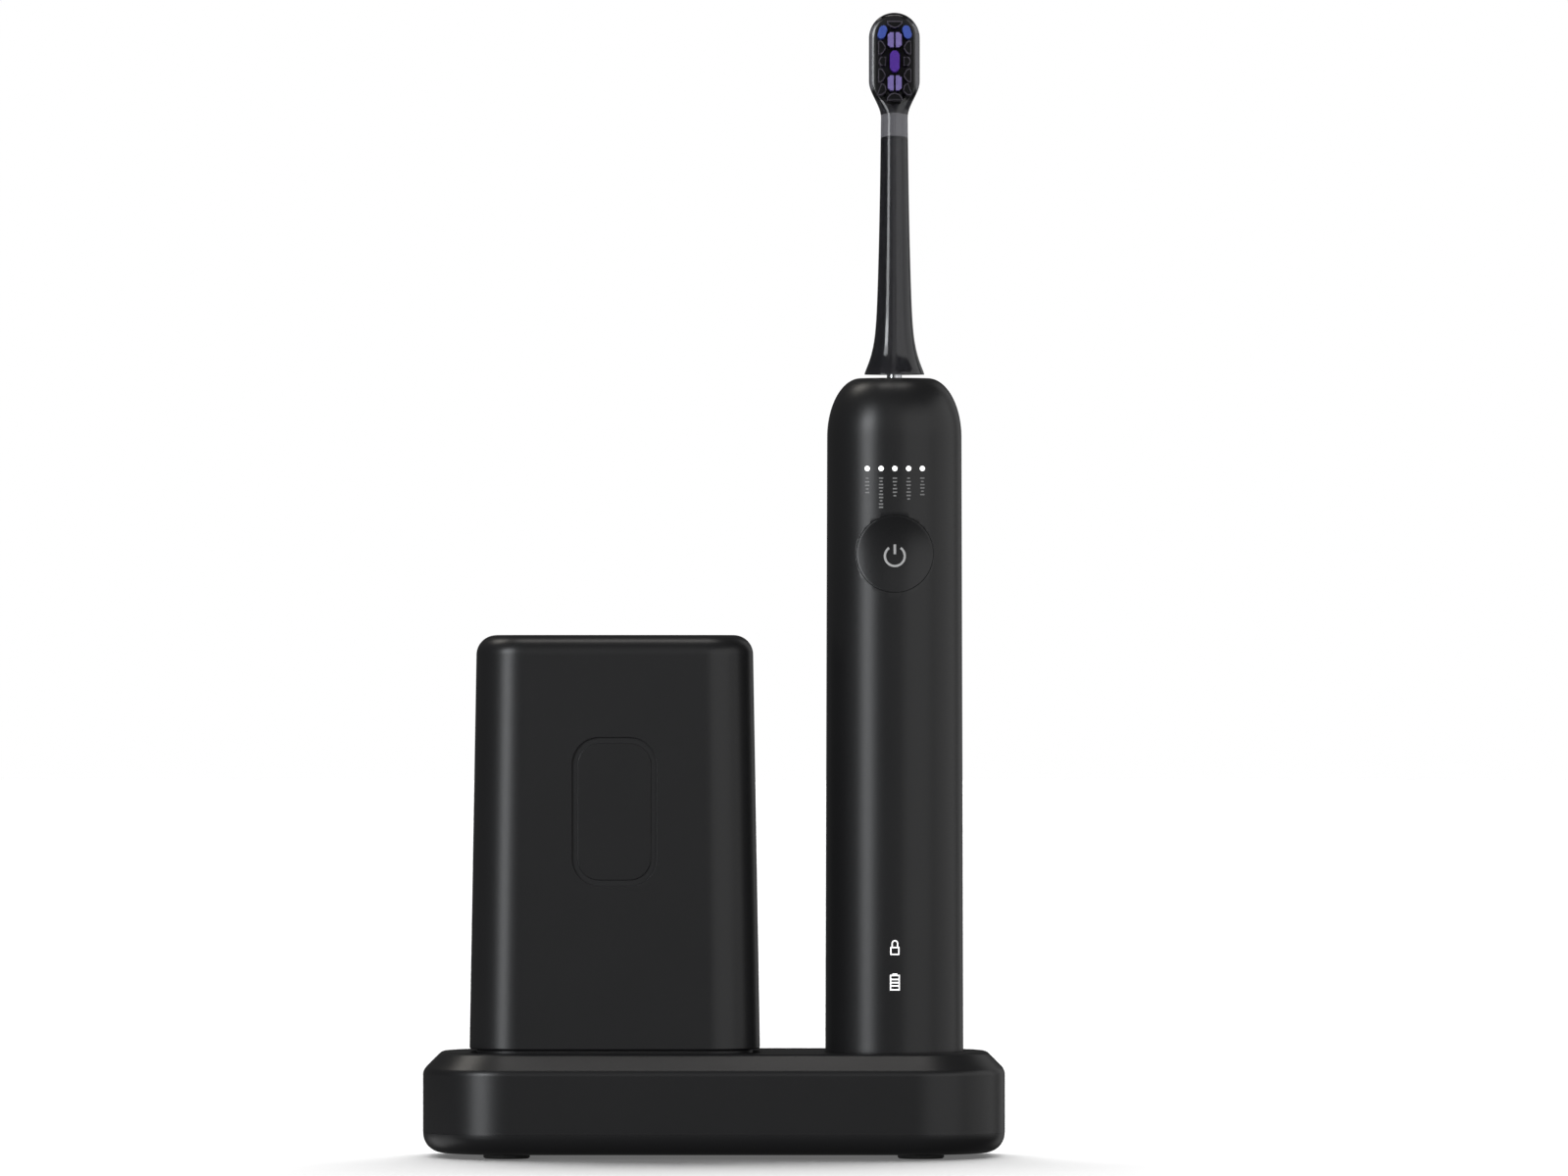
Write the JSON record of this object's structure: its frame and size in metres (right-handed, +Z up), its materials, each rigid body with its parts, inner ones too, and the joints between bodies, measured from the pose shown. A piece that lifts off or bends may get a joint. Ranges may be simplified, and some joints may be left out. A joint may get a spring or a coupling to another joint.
{
  "type": "electric toothbrush on charger",
  "caption": "Sonic toothbrush with a dished power button standing on a long charging base, beside a covered box for spare brush heads.",
  "frame": {"origin": "centre of the base's footprint, on the surface that it stands on", "axes": "+Z up, -Y to the front where the button and bristles face, +X from the storage box towards the brush"},
  "size_m": [0.128, 0.05, 0.2517],
  "materials": {
    "satin_black": "satin moulded ABS",
    "tray_black": "satin moulded ABS",
    "end_cap_black": "satin moulded ABS",
    "rubber_black": "matt moulded rubber",
    "seal_grey": "matt silicone",
    "seal_red": "matt silicone",
    "screw_steel": "zinc plated",
    "copper_wire": "enamelled copper winding",
    "ferrite": "pressed ferrite",
    "circuit_board": "solder mask on glass laminate",
    "component_black": "moulded epoxy",
    "inlet_steel": "drawn steel shell",
    "chassis_plastic": "moulded ABS",
    "cell_wrap": "shrink sleeve over the cell",
    "tab_nickel": "nickel strip",
    "led_white": "clear lens",
    "light_white": "milky light guide",
    "motor_steel": "plated steel",
    "bearing_bronze": "sintered bronze",
    "shaft_steel": "ground stainless steel",
    "button_black": "satin moulded ABS",
    "plunger_white": "moulded nylon",
    "neck_smoke": "smoky clear moulding",
    "core_black": "moulded core",
    "plate_black": "moulded plate",
    "bristle_black": "nylon filament",
    "bristle_lilac": "nylon filament",
    "bristle_violet": "nylon filament",
    "bristle_blue": "nylon filament",
    "print_grey": "pad printed mark"
  },
  "bodies": {
    "charger": {"base_housing": "satin_black", "base_cover": "satin_black", "base_gasket": "seal_grey", "base_feet": "rubber_black", "base_screws": "screw_steel", "charging_post": "tray_black", "transmitter_coil": "copper_wire", "transmitter_core": "ferrite", "charger_board": "circuit_board", "usb_socket": "inlet_steel"},
    "tray": {"head_tray": "tray_black"},
    "cover": {"head_cover": "satin_black"},
    "handle": {"handle_housing": "satin_black", "end_cap": "end_cap_black", "end_cap_seal": "seal_red", "receiver_coil": "copper_wire", "receiver_ferrite": "ferrite", "chassis": "chassis_plastic", "battery_cell": "cell_wrap", "battery_tabs": "tab_nickel", "main_board": "circuit_board", "board_components": "component_black", "board_screws": "screw_steel", "mode_leds": "led_white", "mode_light_pins": "light_white", "icon_light_guide": "light_white", "tact_switch": "component_black", "button_gasket": "seal_grey", "motor_case": "motor_steel", "stator_core": "motor_steel", "stator_coil": "copper_wire", "front_bearing": "bearing_bronze", "rear_bearing": "bearing_bronze", "motor_cushion": "rubber_black", "shaft_seal": "rubber_black"},
    "drive": {"drive_shaft": "shaft_steel", "rotor_magnets": "motor_steel"},
    "button": {"button_cap": "button_black"},
    "plunger": {"switch_plunger": "plunger_white"},
    "brush_head": {"neck_shell": "neck_smoke", "neck_core": "core_black", "shaft_clip": "shaft_steel", "bristle_plate": "plate_black", "tufts_black": "bristle_black", "tufts_lilac": "bristle_lilac", "tufts_violet": "bristle_violet", "tufts_blue": "bristle_blue"}
  },
  "joints": [
    {"name": "brush_lift", "type": "slide", "parent": "charger", "child": "handle", "axis": [0, 0, 1], "range_m": [0, 0.045]},
    {"name": "shaft_sweep", "type": "hinge", "parent": "handle", "child": "drive", "pos_m": [0.0397, 0, 0.16], "axis": [0, 0, 1], "range_deg": [-4, 4], "stiffness_Nm_per_rad": 0.05},
    {"name": "head_pull", "type": "slide", "parent": "drive", "child": "brush_head", "axis": [0, 0, 1], "range_m": [0, 0.03]},
    {"name": "button_press", "type": "slide", "parent": "handle", "child": "button", "axis": [0, 1, 0], "range_m": [0, 0.0004], "stiffness_N_per_m": 1200},
    {"name": "switch_travel", "type": "slide", "parent": "handle", "child": "plunger", "axis": [0, 1, 0], "range_m": [0, 0.0004]},
    {"name": "tray_lift", "type": "slide", "parent": "charger", "child": "tray", "axis": [0, 0, 1], "range_m": [0, 0.03]},
    {"name": "cover_lift", "type": "slide", "parent": "tray", "child": "cover", "axis": [0, 0, 1], "range_m": [0, 0.12]}
  ],
  "couplings": [
    {"joint": "switch_travel", "follows": "button_press", "ratio": 1}
  ]
}
